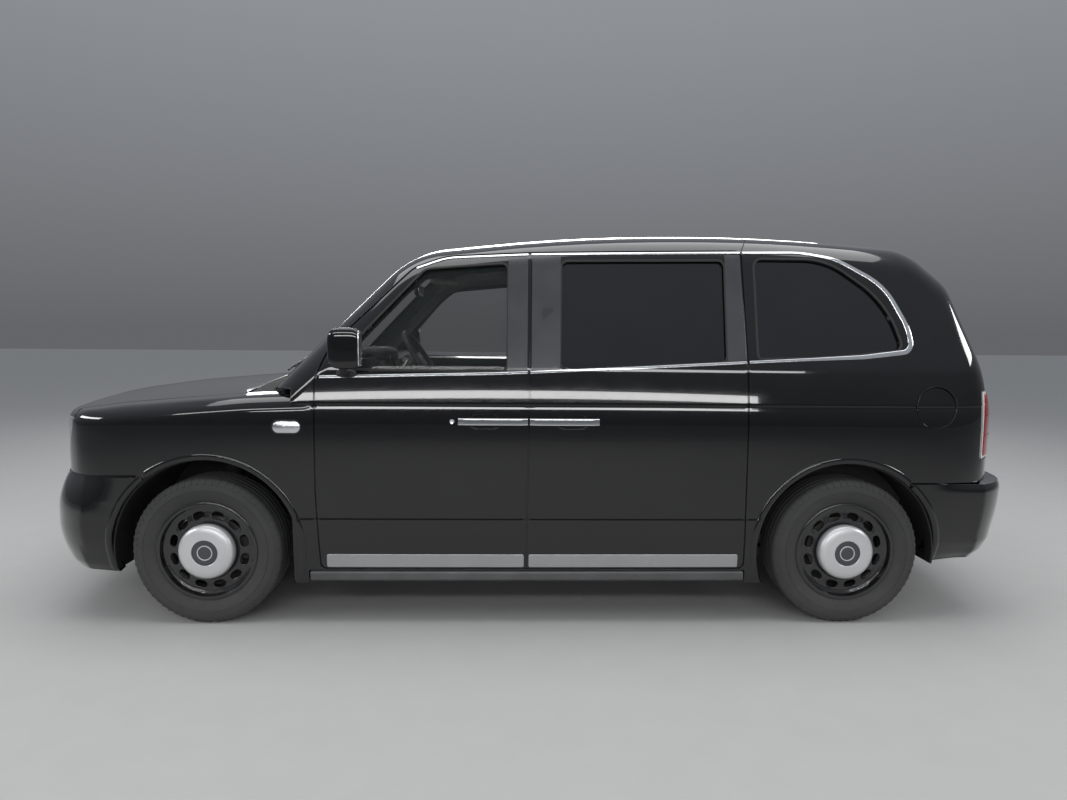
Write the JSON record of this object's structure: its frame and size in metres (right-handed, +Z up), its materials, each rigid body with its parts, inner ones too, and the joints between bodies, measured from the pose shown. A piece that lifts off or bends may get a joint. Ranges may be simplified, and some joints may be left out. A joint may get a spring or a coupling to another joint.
{
  "type": "taxi cab",
  "caption": "Tall black taxi cab with side doors that open away from each other, rear passenger cabin behind a partition, steel wheels and a top-hinged tailgate.",
  "frame": {"origin": "on the ground under the middle of the wheelbase, which is the middle of the length and width", "axes": "+X forward, +Y to the cab's left, +Z up"},
  "size_m": [4.8568, 2.036, 1.8883],
  "materials": {
    "black_paint": "gloss black",
    "step_metal": "satin grey",
    "underbody": "sealed matt black",
    "battery_case": "cast",
    "chrome_trim": "bright",
    "lamp_clear": "clear",
    "lamp_red": "clear red",
    "clear_glass": "slightly green",
    "dark_glass": "privacy tint",
    "cabin_plastic": "grained",
    "seat_fabric": "vinyl and cloth",
    "wheel_steel": "satin black",
    "tyre_rubber": "dusty"
  },
  "bodies": {
    "root": {"battery_pack": "battery_case", "dashboard": "cabin_plastic", "driver_seat": "seat_fabric", "engine": "battery_case", "fixed_glass": "clear_glass", "floor_platform": "underbody", "front_bumper": "black_paint", "front_structure": "underbody", "grille": "chrome_trim", "headlamps": "lamp_clear", "jump_seats": "seat_fabric", "partition": "cabin_plastic", "rear_axle": "underbody", "rear_bench": "seat_fabric", "rear_bumper": "black_paint", "roof_panel": "black_paint", "scuttle": "underbody", "side_frame_left": "black_paint", "side_frame_right": "black_paint", "side_steps": "step_metal", "tail_lamps": "lamp_red", "wing_left": "black_paint", "wing_right": "black_paint"},
    "front_door_left": {"front_door_left": "black_paint", "front_glass_left": "clear_glass"},
    "front_door_right": {"front_door_right": "black_paint", "front_glass_right": "clear_glass"},
    "rear_door_left": {"rear_door_left": "black_paint", "rear_glass_left": "dark_glass"},
    "rear_door_right": {"rear_door_right": "black_paint", "rear_glass_right": "dark_glass"},
    "bonnet": {"bonnet": "black_paint"},
    "tailgate": {"tailgate": "black_paint", "tailgate_glass": "dark_glass"},
    "knuckle_left": {"knuckle_left": "underbody"},
    "knuckle_right": {"knuckle_right": "underbody"},
    "wheel_front_left": {"wheel_front_left": "wheel_steel", "tyre_front_left": "tyre_rubber"},
    "wheel_front_right": {"wheel_front_right": "wheel_steel", "tyre_front_right": "tyre_rubber"},
    "wheel_rear_left": {"wheel_rear_left": "wheel_steel", "tyre_rear_left": "tyre_rubber"},
    "wheel_rear_right": {"wheel_rear_right": "wheel_steel", "tyre_rear_right": "tyre_rubber"},
    "steering_wheel": {"steering_wheel": "cabin_plastic"},
    "filler_flap": {"filler_flap": "black_paint"},
    "jump_cushion_left": {"jump_cushion_left": "seat_fabric"},
    "jump_cushion_centre": {"jump_cushion_centre": "seat_fabric"},
    "jump_cushion_right": {"jump_cushion_right": "seat_fabric"}
  },
  "joints": [
    {"name": "front_door_left_hinge", "type": "hinge", "parent": "root", "child": "front_door_left", "pos_m": [0.978, 0.94, 0.7], "axis": [0, 0, -1], "range_deg": [0, 70]},
    {"name": "front_door_right_hinge", "type": "hinge", "parent": "root", "child": "front_door_right", "pos_m": [0.978, -0.94, 0.7], "axis": [0, 0, 1], "range_deg": [0, 70]},
    {"name": "rear_door_left_hinge", "type": "hinge", "parent": "root", "child": "rear_door_left", "pos_m": [-1.004, 0.94, 0.7], "axis": [0, 0, 1], "range_deg": [0, 90]},
    {"name": "rear_door_right_hinge", "type": "hinge", "parent": "root", "child": "rear_door_right", "pos_m": [-1.004, -0.94, 0.7], "axis": [0, 0, -1], "range_deg": [0, 90]},
    {"name": "bonnet_hinge", "type": "hinge", "parent": "root", "child": "bonnet", "pos_m": [1.312, 0, 1.132], "axis": [0, -1, 0], "range_deg": [0, 48]},
    {"name": "tailgate_hinge", "type": "hinge", "parent": "root", "child": "tailgate", "pos_m": [-1.838, 0, 1.846], "axis": [0, 1, 0], "range_deg": [0, 84]},
    {"name": "steer_left", "type": "hinge", "parent": "root", "child": "knuckle_left", "pos_m": [1.4925, 0.74, 0.345], "axis": [0, 0, 1], "range_deg": [-40, 40]},
    {"name": "steer_right", "type": "hinge", "parent": "root", "child": "knuckle_right", "pos_m": [1.4925, -0.74, 0.345], "axis": [0, 0, 1], "range_deg": [-40, 40]},
    {"name": "roll_front_left", "type": "hinge", "parent": "knuckle_left", "child": "wheel_front_left", "pos_m": [1.4925, 0.81, 0.345], "axis": [0, 1, 0], "continuous": true},
    {"name": "roll_front_right", "type": "hinge", "parent": "knuckle_right", "child": "wheel_front_right", "pos_m": [1.4925, -0.81, 0.345], "axis": [0, 1, 0], "continuous": true},
    {"name": "roll_rear_left", "type": "hinge", "parent": "root", "child": "wheel_rear_left", "pos_m": [-1.4925, 0.81, 0.345], "axis": [0, 1, 0], "continuous": true},
    {"name": "roll_rear_right", "type": "hinge", "parent": "root", "child": "wheel_rear_right", "pos_m": [-1.4925, -0.81, 0.345], "axis": [0, 1, 0], "continuous": true},
    {"name": "steering_wheel_turn", "type": "hinge", "parent": "root", "child": "steering_wheel", "pos_m": [0.553, 0.37, 1.206], "axis": [-0.8387, 0, 0.5446], "range_deg": [-480, 480]},
    {"name": "filler_flap_hinge", "type": "hinge", "parent": "root", "child": "filler_flap", "pos_m": [-1.7975, 0.9215, 1.031], "axis": [0, 0, -1], "range_deg": [0, 95]},
    {"name": "jump_cushion_left_fold", "type": "hinge", "parent": "root", "child": "jump_cushion_left", "pos_m": [-0.202, -0.42, 0.742], "axis": [0, -1, 0], "range_deg": [0, 80]},
    {"name": "jump_cushion_centre_fold", "type": "hinge", "parent": "root", "child": "jump_cushion_centre", "pos_m": [-0.202, 0, 0.742], "axis": [0, -1, 0], "range_deg": [0, 80]},
    {"name": "jump_cushion_right_fold", "type": "hinge", "parent": "root", "child": "jump_cushion_right", "pos_m": [-0.202, 0.42, 0.742], "axis": [0, -1, 0], "range_deg": [0, 80]}
  ],
  "couplings": [
    {"joint": "steer_right", "follows": "steer_left", "ratio": 1},
    {"joint": "steering_wheel_turn", "follows": "steer_left", "ratio": 12}
  ]
}
